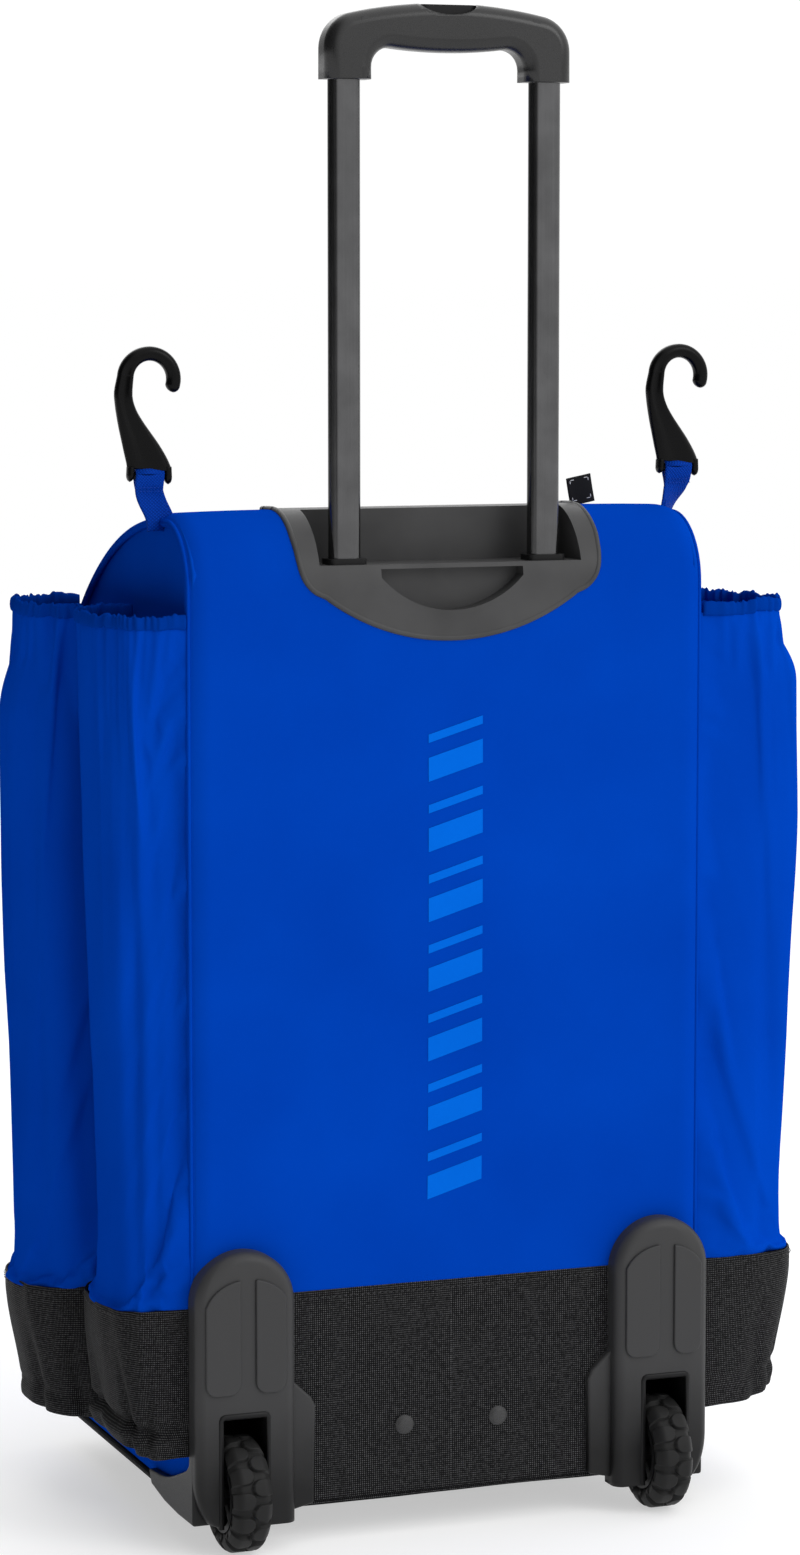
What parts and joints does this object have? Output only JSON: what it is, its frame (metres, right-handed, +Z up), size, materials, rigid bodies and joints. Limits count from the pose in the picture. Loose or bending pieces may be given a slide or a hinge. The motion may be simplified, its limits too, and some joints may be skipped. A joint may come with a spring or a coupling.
{
  "type": "wheeled equipment bag",
  "caption": "Upright wheeled team equipment bag with a telescopic trolley handle, side bat sleeves, a drop-down front door, fence hooks and moulded wheel housings.",
  "frame": {"origin": "on the floor, under the centre of the bag's overall box, with the trolley handle pulled out", "axes": "+Z up, along the trolley handle; +Y towards the front door; the trolley and wheels are at -Y; +X to the right as seen from behind"},
  "size_m": [0.558, 0.38, 1.054],
  "materials": {
    "panel_fabric": "coated polyester, satin",
    "woven_base": "ballistic twill",
    "elastic_binding": "gathered elastic binding",
    "stiffener_board": "extruded sheet",
    "zipper_tape": "coil zipper tape",
    "zipper_metal": "black lacquer",
    "moulded_plastic": "fine spark texture",
    "grip_plastic": "fine matt",
    "button_plastic": "fine matt",
    "steel": "zinc plated",
    "tube_metal": "gloss black",
    "tyre_rubber": "moulded tread",
    "hub_plastic": "moulded",
    "foot_rubber": "moulded",
    "webbing": "woven webbing",
    "hook_plastic": "satin nylon",
    "label_weave": "damask weave"
  },
  "bodies": {
    "bag": {"rear_panel": "panel_fabric", "top_panel": "panel_fabric", "base_band": "woven_base", "base_panel": "woven_base", "front_sill": "woven_base", "back_board": "stiffener_board", "gusset_left": "panel_fabric", "gusset_right": "panel_fabric", "front_frame_left": "panel_fabric", "front_frame_right": "panel_fabric", "zip_track": "zipper_tape", "rear_sleeve_left": "panel_fabric", "front_sleeve_left": "panel_fabric", "rear_sleeve_right": "panel_fabric", "front_sleeve_right": "panel_fabric", "rear_boot_left": "woven_base", "front_boot_left": "woven_base", "rear_boot_right": "woven_base", "front_boot_right": "woven_base", "mouth_rims_left": "elastic_binding", "mouth_rims_right": "elastic_binding", "handle_cup": "moulded_plastic", "tube_bushes": "moulded_plastic", "outer_tube_left": "tube_metal", "outer_tube_right": "tube_metal", "lower_bracket": "steel", "bracket_rivets": "steel", "wheel_housing_left": "moulded_plastic", "wheel_housing_right": "moulded_plastic", "housing_rivets": "steel", "axle_left": "steel", "axle_right": "steel", "front_feet": "foot_rubber", "tab_label": "label_weave"},
    "door": {"front_door": "panel_fabric", "front_pocket": "panel_fabric"},
    "handle": {"inner_tube_left": "tube_metal", "inner_tube_right": "tube_metal", "slider_block_left": "moulded_plastic", "slider_block_right": "moulded_plastic", "grip_rear_shell": "grip_plastic", "grip_front_shell": "grip_plastic", "grip_screws": "steel"},
    "button": {"release_button": "button_plastic", "push_bridge": "steel", "push_rods": "steel"},
    "lock_pin_left": {"lock_pin_left": "steel"},
    "lock_pin_right": {"lock_pin_right": "steel"},
    "wheel_left": {"wheel_tyre_left": "tyre_rubber", "wheel_hub_left": "hub_plastic"},
    "wheel_right": {"wheel_tyre_right": "tyre_rubber", "wheel_hub_right": "hub_plastic"},
    "hook_strap_left": {"hook_strap_left": "webbing"},
    "hook_strap_right": {"hook_strap_right": "webbing"},
    "fence_hook_left": {"fence_hook_left": "hook_plastic"},
    "fence_hook_right": {"fence_hook_right": "hook_plastic"},
    "zip_slider_left": {"zip_slider_left": "zipper_metal"},
    "zip_slider_right": {"zip_slider_right": "zipper_metal"},
    "zip_pull_left": {"zip_pull_left": "zipper_metal"},
    "zip_pull_right": {"zip_pull_right": "zipper_metal"}
  },
  "joints": [
    {"name": "handle_slide", "type": "slide", "parent": "bag", "child": "handle", "axis": [0, 0, 1], "range_m": [-0.321, 0]},
    {"name": "button_press", "type": "slide", "parent": "handle", "child": "button", "axis": [0, 0, -1], "range_m": [0, 0.004], "stiffness_N_per_m": 900, "springref_m": -0.003},
    {"name": "lock_pin_left_slide", "type": "slide", "parent": "handle", "child": "lock_pin_left", "axis": [1, 0, 0], "range_m": [0, 0.004]},
    {"name": "lock_pin_right_slide", "type": "slide", "parent": "handle", "child": "lock_pin_right", "axis": [-1, 0, 0], "range_m": [0, 0.004]},
    {"name": "wheel_spin_left", "type": "hinge", "parent": "bag", "child": "wheel_left", "pos_m": [-0.157, -0.15, 0.04], "axis": [1, 0, 0], "continuous": true},
    {"name": "wheel_spin_right", "type": "hinge", "parent": "bag", "child": "wheel_right", "pos_m": [0.157, -0.15, 0.04], "axis": [1, 0, 0], "continuous": true},
    {"name": "door_hinge", "type": "hinge", "parent": "bag", "child": "door", "pos_m": [0, 0.17, 0.08], "axis": [-1, 0, 0], "range_deg": [0, 85]},
    {"name": "hook_strap_left_swing", "type": "hinge", "parent": "bag", "child": "hook_strap_left", "pos_m": [-0.1965, -0.087, 0.7125], "axis": [1, 0, 0], "range_deg": [-65, 65]},
    {"name": "fence_hook_left_tilt", "type": "hinge", "parent": "hook_strap_left", "child": "fence_hook_left", "pos_m": [-0.1965, -0.087, 0.736], "axis": [1, 0, 0], "range_deg": [-30, 30]},
    {"name": "hook_strap_right_swing", "type": "hinge", "parent": "bag", "child": "hook_strap_right", "pos_m": [0.1965, -0.087, 0.7125], "axis": [1, 0, 0], "range_deg": [-65, 65]},
    {"name": "fence_hook_right_tilt", "type": "hinge", "parent": "hook_strap_right", "child": "fence_hook_right", "pos_m": [0.1965, -0.087, 0.736], "axis": [1, 0, 0], "range_deg": [-30, 30]},
    {"name": "zip_slide_left", "type": "slide", "parent": "bag", "child": "zip_slider_left", "axis": [-1, 0, 0], "range_m": [0, 0.13]},
    {"name": "zip_pull_left_flip", "type": "hinge", "parent": "zip_slider_left", "child": "zip_pull_left", "pos_m": [-0.007, 0.03133, 0.68932], "axis": [-1, 0, 0], "range_deg": [0, 120]},
    {"name": "zip_slide_right", "type": "slide", "parent": "bag", "child": "zip_slider_right", "axis": [1, 0, 0], "range_m": [0, 0.13]},
    {"name": "zip_pull_right_flip", "type": "hinge", "parent": "zip_slider_right", "child": "zip_pull_right", "pos_m": [0.007, 0.03133, 0.68932], "axis": [-1, 0, 0], "range_deg": [0, 120]}
  ],
  "couplings": [
    {"joint": "lock_pin_left_slide", "follows": "button_press", "ratio": 1},
    {"joint": "lock_pin_right_slide", "follows": "button_press", "ratio": 1}
  ]
}
